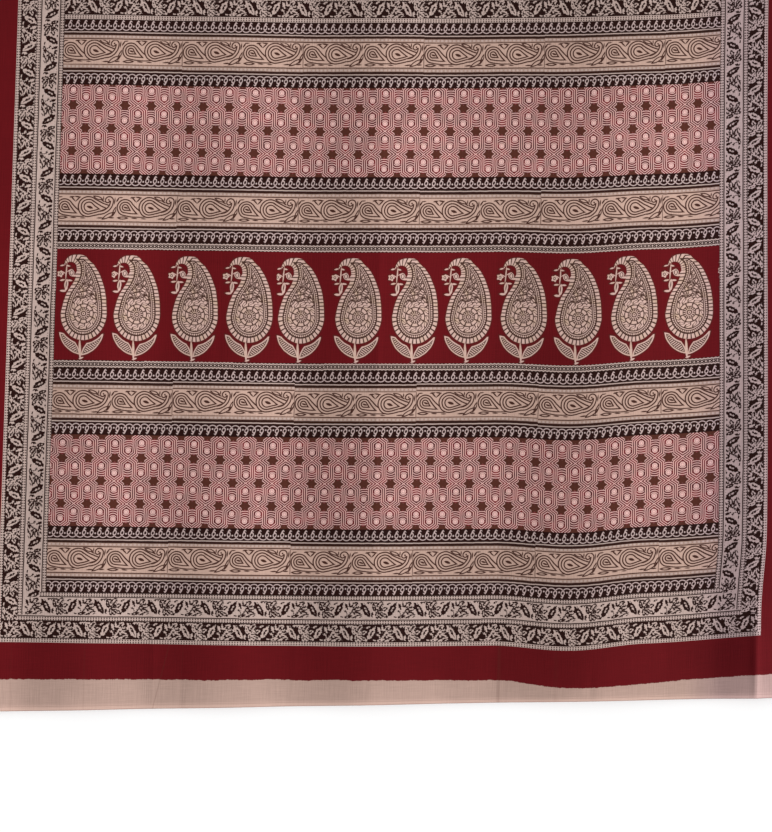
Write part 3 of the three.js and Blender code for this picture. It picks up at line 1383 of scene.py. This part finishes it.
@dataclass(frozen=True)
class PaisleyRow(Finish):
    """Tall upright paisleys on madder, each with a rosette, two leaves and a hanging spray."""

    name: str = "paisley_row"
    pitch: float = 77.0
    first: float = 39.5
    eye_height: float = 65.0
    tall: float = 82.4
    sag: float = 0.86
    filigree: float = 5.4
    # The depth inside which the fillings lie.
    inner: float = 12.6
    flower_at: Pair = (-34.4, 55.2)
    # The lengths along the outline for each radian round the belly, and round the bent tip.
    belly_reach: float = 27.0
    tip_reach: float = 17.0
    # How far at most a block of the row is printed off its even place.
    slip: float = 3.0
    # The circle that the bent tip follows, and the one that is left open under it.
    tip_round: tuple[float, float, float] = (-14.0, 66.8, 15.2)
    tip_hollow: tuple[float, float, float] = (-20.3, 62.6, 9.7)
    # The half width and the middle line of the body, up from the rosette.
    half_widths: tuple[Pair, ...] = (
        (0.0, 32.0), (0.3, 28.0), (0.6, 18.0), (0.8, 13.0), (0.94, 11.0), (1.0, 0.0),
    )
    middles: tuple[Pair, ...] = (
        (0.0, 0.0), (0.3, 2.0), (0.6, 5.0), (0.8, 1.0), (0.94, -8.0), (1.0, -9.0),
    )

    def colour(self, loom: Loom) -> Spot:
        """Draws one paisley and repeats it along the run.

        Args:
            loom: The material's builder.

        Returns:
            The colour.
        """
        run, height = loom.print.axes()
        number = ((run - self.first) / self.pitch).solve("ROUND")
        slip = loom.chance(number).times_plus(self.slip * 2, -self.slip)
        x = run - number.times_plus(self.pitch, self.first) - slip
        y = height - self.eye_height
        spot = loom.print.made_of(x, y)
        loom.vary(number)

        depth, path = self.body(loom, spot, x, y)
        leaves, hatching = self.leaves(spot, depth)
        flower = self.flower(spot)
        rosette = self.rosette(spot, x, y).within(-(depth - self.inner))
        marks = joined((self.bands(depth, path), rosette, self.scroll(loom, spot, depth)))
        stem = spot.leaf((-3.6, -50.0), 93, 30.0, 3.4).join(spot.leaf((-1.6, -62.4), 20, 7.0, 2.4))
        pale = joined((-depth, leaves, stem, flower, *(mark.draw(spot, 1.0) for mark in SPRIG)))
        slit = spot.leaf((-25.6, 40.6), 84, 10.0, 1.4)
        bud_vein = spot.leaf((-18.6, 57.0), 88, 7.0, 4.2).outline(1.0)
        ink = joined((marks.within(-depth), hatching, slit, bud_vein, spot.ring(self.flower_at, 1.5, 0.9)))
        stains = loom.cloudy(spot, 13.0, 2.0).times_plus(3.0, -1.35, clamp=True) * 0.5
        cotton = loom.over(PAISLEY_PALE, stains, PAISLEY_STAIN)
        rim = (pale - 1.1).outline(1.0).mask() * 0.5
        printed = loom.over(loom.over(MADDER, rim, PAISLEY_BROWN), pale.mask(), cotton)
        return loom.over(printed, ink.mask(), PAISLEY_BROWN)

    def body(self, loom: Loom, spot: Spot, x: Field, y: Field) -> tuple[Field, Field]:
        """Shapes the body with its bent tip.

        Args:
            loom: The material's builder.
            spot: The place, from the middle of the rosette.
            x: Its length to the right.
            y: Its length up.

        Returns:
            The depth within the outline, and the length along it.
        """
        up = (y / self.tall).solve("MULTIPLY", 1.0, clamp=True)
        half = loom.curve(up, (0.0, 34.0), self.half_widths)
        middle = loom.curve(up, (-12.0, 8.0), self.middles)
        low = y.solve("MINIMUM", 0.0) * self.sag
        side = (x - middle).size()
        trunk = (half - spot.made_of(side, low).far()).join(-(y - self.tall))
        round_x, round_y, round_r = self.tip_round
        hollow_x, hollow_y, hollow_r = self.tip_hollow
        hollow = spot.far((hollow_x, hollow_y)) - hollow_r
        tip = (-(spot.far((round_x, round_y)) - round_r)).join(hollow)
        depth = trunk.join(hollow + 1.0).within(tip)
        turn = (-low).solve("ARCTAN2", side)
        up_side = y.solve("MAXIMUM", 0.0) - turn * self.belly_reach
        bent = (y - hollow_y).solve("ARCTAN2", x - hollow_x) * self.tip_reach
        at_tip = (x + 6.0).solve("LESS_THAN", 0.0) * y.solve("GREATER_THAN", 60.0)
        return depth, up_side + at_tip * (bent - up_side)

    def bands(self, depth: Field, path: Field) -> Field:
        """Draws the ribbed band, the row of beads and the lines that follow the outline.

        Args:
            depth: The depth within the outline.
            path: The length along it.

        Returns:
            The marks.
        """
        ribs = (path.wrapped(5.0).size() - 0.75).within((depth - 3.1).size() - 3.1)
        beads = self.beads(depth, path)
        lines = joined(((depth - 6.3).outline(1.3), (depth - 12.4).outline(1.3)))
        return joined((ribs, beads, lines))

    def beads(self, depth: Field, path: Field) -> Field:
        """Draws a dark line with pale beads left in it.

        Args:
            depth: The depth within the outline.
            path: The length along it.

        Returns:
            The dark line.
        """
        off = depth - 8.6
        seat = Spot(depth.tree, depth.socket).made_of(path.wrapped(3.0), off)
        return (off.size() - 2.1).within(-(seat.far() - 1.05))

    def rosette(self, spot: Spot, x: Field, y: Field) -> Field:
        """Draws the rings, the eight petals and the outer wreath of twelve leaves.

        Args:
            spot: The place, from the middle of the rosette.
            x: Its length to the right.
            y: Its length up.

        Returns:
            The marks.
        """
        radius = spot.far()
        turn = y.solve("ARCTAN2", x) / (2 * math.pi)
        petals, rays = ((turn * count).wrapped(1.0).size() for count in (8.0, 15.0))
        wreath = radius.times_plus(0.12, turn * 12.0).wrapped(1.0).size()
        return joined(
            (
                radius - 0.9,
                (radius - 3.0).outline(1.5),
                rays.times_plus(-2.6, 0.55).within((radius - 6.4).outline(3.6)),
                (radius - 8.6).outline(1.0),
                petals.times_plus(-8.0, 3.2).within((radius - 11.0).outline(4.6)),
                (radius - 13.6).outline(1.4),
                ((radius - 18.0).size() + wreath * 11.0 - 3.6).outline(1.7),
                (radius - 22.4).outline(1.2).within(y - 4.0),
            )
        )

    def scroll(self, loom: Loom, spot: Spot, depth: Field) -> Field:
        """Draws the leaves, the rings and the fine net that fill the body over the rosette.

        Args:
            loom: The material's builder.
            spot: The place, from the middle of the rosette.
            depth: The depth within the outline.

        Returns:
            The marks.
        """
        drawn = joined(mark.draw(spot, 1.2) for mark in SCROLL)
        clear = -(spot.far() - 21.0)
        fine = loom.cells(spot, self.filigree).times_plus(self.filigree, -0.5).within(clear)
        return drawn.join(fine).within(-(depth - self.inner))

    def leaves(self, spot: Spot, depth: Field) -> tuple[Field, Field]:
        """Draws the two hatched leaves under the body.

        Args:
            spot: The place, from the middle of the rosette.
            depth: The depth within the body.

        Returns:
            The leaves, and the hatching on them.
        """
        shapes, hatches = [], []
        for at, angle, lean in (((-18.4, -42.0), 134, 124), ((13.2, -43.4), 45, 56)):
            leaf = spot.leaf(at, angle, 43.0, 14.0).within(depth + 4.0)
            across = math.radians(lean)
            hatch = spot.towards(math.cos(across), math.sin(across)).wrapped(2.9).outline(1.5)
            shapes.append(leaf)
            hatches.append(hatch.within(leaf + 2.2).join((leaf + 2.0).outline(0.8)))
        return joined(shapes), joined(hatches)

    def flower(self, spot: Spot) -> Field:
        """Draws the small five-petalled flower of the hanging spray.

        Args:
            spot: The place, from the middle of the rosette.

        Returns:
            The shape.
        """
        own = spot.moved(*self.flower_at)
        x, y = own.axes()
        petal = (y.solve("ARCTAN2", x) / (2 * math.pi) * 5.0).wrapped(1.0).size()
        return own.far() + petal * 3.6 - 5.0


# The cloth's layout


@dataclass(frozen=True)
class Band:
    """A printed band of the end panel: its finish, its height in mm, and whether it is turned round."""

    finish: Finish
    height: float
    turned: bool = False
    # How far the print is moved to the right along its run, in mm.
    slide: float = 0.0


@dataclass
class EndPanel:
    """The rows and columns of print, from the hem and from the selvages."""

    plain: Finish = Finish()
    dyed_end: Finish = DyedEnd()
    dots: Finish = DottedLine()
    edge_lines: Finish = DottedLine(name="edge_lines", height=8.2, line=True)
    black_leaves: Finish = LeafBand(name="black_leaves", ground=Ground.BLACK, stroke=1.5, shift=28.0)
    pale_leaves: Finish = LeafBand(name="pale_leaves")
    chain: Finish = ChainBand()
    lines: Finish = PlainLines()
    tan: Finish = TanDots()
    vine: Finish = VineBand()
    lattice: Finish = StarLattice()
    beads: Finish = BeadLine()
    paisleys: Finish = PaisleyRow()
    reverse: Finish = Reverse()

    selvage: float = 45.0
    end_height: float = 88.2
    # The rings of the border, from the outside in: across the sides, and up from the end.
    side_rings: tuple[float, ...] = (5.0, 22.4, 8.8, 21.4, 9.0)
    end_rings: tuple[float, ...] = (5.6, 25.2, 7.8, 25.0, 7.1)

    def ring_bands(self) -> list[Band]:
        """Lists the border's rings from the outside in."""
        finishes = (self.dots, self.black_leaves, self.edge_lines, self.pale_leaves, self.edge_lines)
        turns = (False, False, False, False, True)
        return [Band(finish, 0.0, turned) for finish, turned in zip(finishes, turns)]

    def vine_group(self, height: float, slide: float) -> list[Band]:
        """Lists the bands of one vine group, from its lower chain to its upper one.

        Args:
            height: The height of the whole group.
            slide: How far its print is moved to the right, in mm.

        Returns:
            The bands, scaled to that height.
        """
        parts = (
            (self.chain, 17.4, True),
            (self.lines, 5.2, True),
            (self.tan, 6.9, True),
            (self.vine, 34.4, False),
            (self.tan, 6.9, False),
            (self.lines, 5.2, False),
            (self.chain, 17.4, False),
        )
        scale = height / sum(part[1] for part in parts)
        return [Band(finish, size * scale, turned, slide) for finish, size, turned in parts]

    def field_bands(self) -> list[Band]:
        """Lists the bands over the border, up to the plain body."""
        return [
            *self.vine_group(93.0, -2.8),
            Band(self.lattice, 128.2, False, 0.9),
            *self.vine_group(93.8, -2.8),
            Band(self.beads, 10.5),
            Band(self.paisleys, 155.4),
            Band(self.beads, 10.5, True),
            *self.vine_group(95.2, -4.2),
            Band(self.lattice, 124.6),
            *self.vine_group(91.7, -3.0),
            Band(self.dots, 6.0),
            Band(self.black_leaves, 24.0),
            Band(self.dots, 5.6),
        ]

    def finishes(self) -> list[Finish]:
        """Lists every finish once, in the order of the cloth's material slots."""
        return [value for value in vars(self).values() if isinstance(value, Finish)]


@dataclass(frozen=True)
class Strip:
    """A stretch of rows or columns with one print: where it lies, and its ring or its band."""

    start: float
    end: float
    ring: int
    band: Optional[Band] = None


def steps(edges: Sequence[float], spacing: float, keen: Sequence[float] = ()) -> Array:
    """Splits stretches into even steps, with finer ones beside keen lines.

    Args:
        edges: The ends of the stretches, in rising order.
        spacing: The longest step.
        keen: Places that get close steps.

    Returns:
        All the places, in rising order.
    """
    # How far the close steps reach and how long they are, how near they may come to an edge, and
    # the shortest step of all.
    near, close, clear, shortest = 12.0, 3.0, 0.8, 1.2
    places = set()
    for low, high in zip(edges, edges[1:]):
        count = max(1, math.ceil((high - low) / spacing))
        places.update(np.linspace(low, high, count + 1).round(4))
    for line in keen:
        places.update(
            round(line + offset, 4)
            for offset in np.arange(-near, near + 0.1, close)
            if edges[0] < line + offset < edges[-1]
            and min(abs(line + offset - edge) for edge in edges) > clear
        )
    ordered = sorted(places)
    fixed = set(np.round(edges, 4))
    kept = [ordered[0]]
    for place in ordered[1:]:
        if place - kept[-1] < shortest and place not in fixed:
            continue
        if place - kept[-1] < shortest and kept[-1] not in fixed:
            kept.pop()
        kept.append(place)
    return np.array(kept)


@dataclass
class ClothMesh:
    """The cloth's mesh while it is built: its faces, their finishes and their places on the maps."""

    stack: FoldedStack
    across: Array
    along: Array
    slots: dict[str, int]
    corners: list[list[int]] = field(default_factory=list)
    slot_of: list[int] = field(default_factory=list)
    cloth_map: list[Pair] = field(default_factory=list)
    print_map: list[Pair] = field(default_factory=list)
    bake_map: list[Pair] = field(default_factory=list)
    # The printed panel's share of the map that finished colours are kept in, and the margins there.
    panel_share: float = 0.93
    inset: float = 0.004
    # The cut edges below this place show the pale end, and the others the madder.
    pale_rim: float = 60.0

    def __post_init__(self) -> None:
        """Finds where the top layer ends."""
        self.panel_end = self.stack.legs()[1][0]

    def point(self, i: int, j: int, side: int) -> int:
        """Gives the number of a mesh point, with side 0 for the printed face and 1 for the back."""
        return (side * len(self.across) + i) * len(self.along) + j

    def kept_spot(self, s: float, t: float, side: int) -> Pair:
        """Places a point on the map that the finished colours are kept in.

        Args:
            s: Its place across the cloth.
            t: Its distance from the hem.
            side: 0 for the printed face, 1 for the back.

        Returns:
            The place on that map.
        """
        inset, share = self.inset, self.panel_share
        u = inset + (1 - 2 * inset) * s / self.stack.width
        if side == 0 and t <= self.panel_end + SAME_PLACE:
            return u, 1 - inset - (share - 2 * inset) * (1 - t / self.panel_end)
        low, part = (1 - share) / 2, t / self.stack.length
        if side == 0:
            low, part = 0.0, (t - self.panel_end) / (self.stack.length - self.panel_end)
        return u, low + inset + ((1 - share) / 2 - 2 * inset) * part

    def add(
        self, points: list[int], slot: str, places: list[Pair], spots: list[Pair], kept: list[Pair]
    ) -> None:
        """Lists one face.

        Args:
            points: The numbers of its corners.
            slot: The name of its finish.
            places: Its corners on the flat cloth.
            spots: Its corners in the print.
            kept: Its corners on the map that the finished colours are kept in.
        """
        self.corners.append(points)
        self.slot_of.append(self.slots[slot])
        self.cloth_map += places
        self.print_map += spots
        self.bake_map += kept

    def add_cell(self, i: int, j: int, finish: Finish, spots: list[Pair]) -> None:
        """Lists the printed face and the back of one cell.

        Args:
            i: The number of its column.
            j: The number of its row.
            finish: What is printed on it.
            spots: Its corners in the print.
        """
        places = [(self.across[i + a], self.along[j + b]) for a, b in CORNERS]
        on_panel = self.along[j + 1] <= self.panel_end + SAME_PLACE
        least = 0.0 if on_panel else self.panel_end + 2 * SAME_PLACE
        kept = [self.kept_spot(s, max(t, least), 0) for s, t in places]
        self.add([self.point(i + a, j + b, 0) for a, b in CORNERS], finish.name, places, spots, kept)
        turned = (CORNERS[0], *reversed(CORNERS[1:]))
        back = [places[CORNERS.index(corner)] for corner in turned]
        kept = [self.kept_spot(s, t, 1) for s, t in back]
        self.add([self.point(i + a, j + b, 1) for a, b in turned], "reverse", back, back, kept)

    def add_rim(self, a: tuple[int, int], b: tuple[int, int]) -> None:
        """Closes the cut edge between two neighbouring points.

        Args:
            a: The column and the row of the first point.
            b: Those of the second one.
        """
        points = [self.point(*a, 1), self.point(*b, 1), self.point(*b, 0), self.point(*a, 0)]
        slot = "dyed_end" if max(self.along[a[1]], self.along[b[1]]) < self.pale_rim else "plain_madder"
        first, second = ((self.across[i], self.along[j]) for i, j in (a, b))
        four = [first, second, second, first]
        self.add(points, slot, four, four, [self.kept_spot(s, t, 1) for s, t in four])

    def close(self) -> None:
        """Closes the cut edges all round."""
        last_i, last_j = len(self.across) - 1, len(self.along) - 1
        for i in range(last_i):
            self.add_rim((i, 0), (i + 1, 0))
            self.add_rim((i + 1, last_j), (i, last_j))
        for j in range(last_j):
            self.add_rim((0, j + 1), (0, j))
            self.add_rim((last_i, j), (last_i, j + 1))

    def dressed(self, finishes: Sequence[Finish]) -> bpy.types.Object:
        """Turns the lists into an object.

        Args:
            finishes: The finishes, in the order of their slots.

        Returns:
            The object.
        """
        grid = np.meshgrid(self.across, self.along, indexing="ij")
        points = np.concatenate([self.stack.lay_down(*grid, side).reshape(-1, 3) for side in (1.0, -1.0)])
        mesh = bpy.data.meshes.new("saree_cloth")
        mesh.from_pydata(points.tolist(), [], self.corners)
        mesh.polygons.foreach_set("material_index", self.slot_of)
        for name, spots, scale in (
            ("Cloth", self.cloth_map, MM), ("Print", self.print_map, MM), ("OFBake", self.bake_map, 1.0),
        ):
            layer = mesh.uv_layers.new(name=name)
            layer.uv.foreach_set("vector", (np.array(spots, dtype=np.float32) * scale).ravel())
        mesh.polygons.foreach_set("use_smooth", [True] * len(self.corners))
        for finish in finishes:
            mesh.materials.append(finish.dress())
        mesh.update()
        cloth = bpy.data.objects.new("saree_cloth", mesh)
        bpy.context.scene.collection.objects.link(cloth)
        return cloth


@dataclass
class Saree:
    """The whole cloth: its mesh, its maps and its finishes."""

    stack: FoldedStack = field(default_factory=FoldedStack)
    panel: EndPanel = field(default_factory=EndPanel)
    column_step: float = 8.5
    row_step: float = 9.0
    # The longest step along the layers under the top one, from the second down.
    under_steps: tuple[float, ...] = (55.0, 80.0, 120.0, 250.0)
    turn_parts: int = 6

    def columns(self) -> list[Strip]:
        """Lists the strips across the cloth, from the left selvage to the right one."""
        width = self.stack.width
        edges = np.cumsum([0.0, self.panel.selvage, *self.panel.side_rings])
        left = [Strip(low, high, ring) for ring, (low, high) in enumerate(zip(edges, edges[1:]))]
        right = [Strip(width - strip.end, width - strip.start, strip.ring) for strip in reversed(left)]
        middle = Strip(left[-1].end, right[0].start, len(left))
        return [*left, middle, *right]

    def rows(self) -> list[Strip]:
        """Lists the strips up from the hem, to the hidden end."""
        panel = self.panel
        edges = np.cumsum([0.0, panel.end_height, *panel.end_rings])
        strips = [Strip(low, high, ring) for ring, (low, high) in enumerate(zip(edges, edges[1:]))]
        inner = len(strips)
        for band in panel.field_bands():
            start = strips[-1].end
            strips.append(Strip(start, start + band.height, inner, band))
        legs = self.stack.legs()
        fold_end = legs[1][0]
        strips.append(Strip(strips[-1].end, fold_end, inner, Band(panel.plain, 0.0)))
        strips.append(Strip(fold_end, self.stack.length, 0, Band(panel.plain, 0.0)))
        return strips

    def across_places(self) -> Array:
        """Places the columns of the mesh."""
        edges = [strip.start for strip in self.columns()] + [self.stack.width]
        keen = [crease.across + crease.drift / 2 + self.stack.width / 2 for crease in CREASES]
        return steps(edges, self.column_step, keen)

    def along_places(self) -> Array:
        """Places the rows of the mesh, close in the end panel and at the folds."""
        strips = self.rows()
        legs = self.stack.legs()
        turn = math.pi * self.stack.turn_radius
        top_edges = [strip.start for strip in strips[:-1]]
        first_turn = legs[1][0] - turn
        places = list(steps([*top_edges, first_turn], self.row_step))
        for index, (start, start_y, end_y, _) in enumerate(legs):
            end = start + abs(end_y - start_y)
            if index > 0:
                count = math.ceil((end - start) / self.under_steps[index - 1])
                places += list(np.linspace(start, end, count + 1))
            if index < len(legs) - 1:
                places += list(np.linspace(end, end + turn, self.turn_parts + 1))
        ordered = [places[0]]
        for place in sorted(places):
            if place - ordered[-1] > SAME_PLACE:
                ordered.append(place)
        return np.array(ordered)

    def print_at(self, column: Strip, row: Strip, across: Pair, along: Pair) -> tuple[Finish, list[Pair]]:
        """Finds what is printed on one face of the mesh, and where in the print it lies.

        Args:
            column: The strip across the cloth that holds the face.
            row: The strip up from the hem that holds it.
            across: The face's left and right ends.
            along: Its lower and upper ends.

        Returns:
            The finish, and the place in the print of each corner, in mm.
        """
        panel = self.panel
        corners = [(across[i], along[j]) for i, j in CORNERS]
        ring = min(column.ring, row.ring)
        if ring == 0:
            return (panel.dyed_end if row.start < panel.end_height else panel.plain), corners
        band = row.band if ring == row.ring and row.band else panel.ring_bands()[ring - 1]
        size = row.end - row.start
        if ring == row.ring:
            left = panel.selvage + (sum(panel.side_rings) if row.band else 0.0)
            spots = [(s - left - band.slide, t - row.start) for s, t in corners]
        elif column.start < self.stack.width / 2:
            size = column.end - column.start
            spots = [(-t, s - column.start) for s, t in corners]
        else:
            size = column.end - column.start
            spots = [(t, column.end - s) for s, t in corners]
        if band.turned:
            spots = [(-run, size - height) for run, height in spots]
        return band.finish, spots

    def build(self) -> bpy.types.Object:
        """Makes the cloth and dresses it.

        Returns:
            The finished object.
        """
        finishes = self.panel.finishes()
        slots = {finish.name: index for index, finish in enumerate(finishes)}
        mesh = ClothMesh(self.stack, self.across_places(), self.along_places(), slots)
        columns = self.strip_of(mesh.across, self.columns())
        rows = self.strip_of(mesh.along, self.rows())
        for i, column in enumerate(columns):
            for j, row in enumerate(rows):
                finish, spots = self.print_at(column, row, mesh.across[i : i + 2], mesh.along[j : j + 2])
                mesh.add_cell(i, j, finish, spots)
        mesh.close()
        return mesh.dressed(finishes)

    @staticmethod
    def strip_of(places: Array, strips: Sequence[Strip]) -> list[Strip]:
        """Finds the strip of each step between two places."""
        middles = (places[:-1] + places[1:]) / 2
        starts = [strip.start for strip in strips]
        return [strips[int(np.searchsorted(starts, middle)) - 1] for middle in middles]


# The room


@dataclass
class Studio:
    """The floor, the light and the camera."""

    picture: Pair = (772.0, 832.0)
    mm_per_pixel: float = 1.4
    # Where the middle of the picture falls on the flat stack, in mm.
    aim: Pair = (0.0, -145.4)
    cloth_height: float = 11.0
    camera_height: float = 2600.0
    sensor: float = 36.0
    floor_half: float = 9.0
    floor_shade: float = 0.9
    sky: float = 0.572
    sun_power: float = 8.68
    sun_turn: float = -18.0
    sun_lean: float = 78.0
    sun_softness: float = 14.0

    def floor(self) -> None:
        """Lays a plain pale floor."""
        half = self.floor_half
        mesh = bpy.data.meshes.new("floor")
        corners = [(-half, -half, 0), (half, -half, 0), (half, half, 0), (-half, half, 0)]
        mesh.from_pydata(corners, [], [(0, 1, 2, 3)])
        material = bpy.data.materials.new("floor")
        material.use_nodes = True
        shader = material.node_tree.nodes["Principled BSDF"]
        shader.inputs["Base Color"].default_value = (self.floor_shade,) * 3 + (1.0,)
        shader.inputs["Roughness"].default_value = 0.95
        mesh.materials.append(material)
        plane = bpy.data.objects.new("floor", mesh)
        bpy.context.scene.collection.objects.link(plane)

    def light(self) -> None:
        """Lights the cloth softly from all round, and a little more from the right."""
        world = bpy.data.worlds.new("soft_room")
        world.use_nodes = True
        world.node_tree.nodes["Background"].inputs[0].default_value = (1.0, 1.0, 1.0, 1.0)
        world.node_tree.nodes["Background"].inputs[1].default_value = self.sky
        bpy.context.scene.world = world
        lamp = bpy.data.lights.new("window", "SUN")
        lamp.energy = self.sun_power
        lamp.angle = math.radians(self.sun_softness)
        sun = bpy.data.objects.new("window", lamp)
        sun.rotation_euler = (0.0, math.radians(self.sun_lean), math.radians(self.sun_turn))
        bpy.context.scene.collection.objects.link(sun)

    def camera(self, origin: Pair) -> None:
        """Hangs the camera straight over the end panel.

        Args:
            origin: Where the middle of the flat stack stands in the frame.
        """
        data = bpy.data.cameras.new("camera")
        span = max(self.picture) * self.mm_per_pixel
        data.sensor_width = self.sensor
        data.lens = self.sensor * self.camera_height / span
        eye = bpy.data.objects.new("camera", data)
        eye.location = (
            (self.aim[0] + origin[0]) * MM,
            (self.aim[1] + origin[1]) * MM,
            (self.camera_height + self.cloth_height) * MM,
        )
        bpy.context.scene.collection.objects.link(eye)
        bpy.context.scene.camera = eye


def main() -> None:
    """Builds the room and the cloth, hangs the cloth on the root body and hides the imported part."""
    logging.basicConfig(level=logging.INFO, format="%(name)s: %(message)s")
    bpy.context.scene.view_settings.view_transform = "Standard"
    saree = Saree()
    studio = Studio()
    studio.floor()
    studio.light()
    studio.camera(saree.stack.origin)
    LOG.info("room is ready")

    cloth = saree.build()
    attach(cloth, "root")
    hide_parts("saree")
    mesh = cloth.data
    LOG.info("%s has %d faces in %d finishes", cloth.name, len(mesh.polygons), len(mesh.materials))


if __name__ == "__main__":
    main()
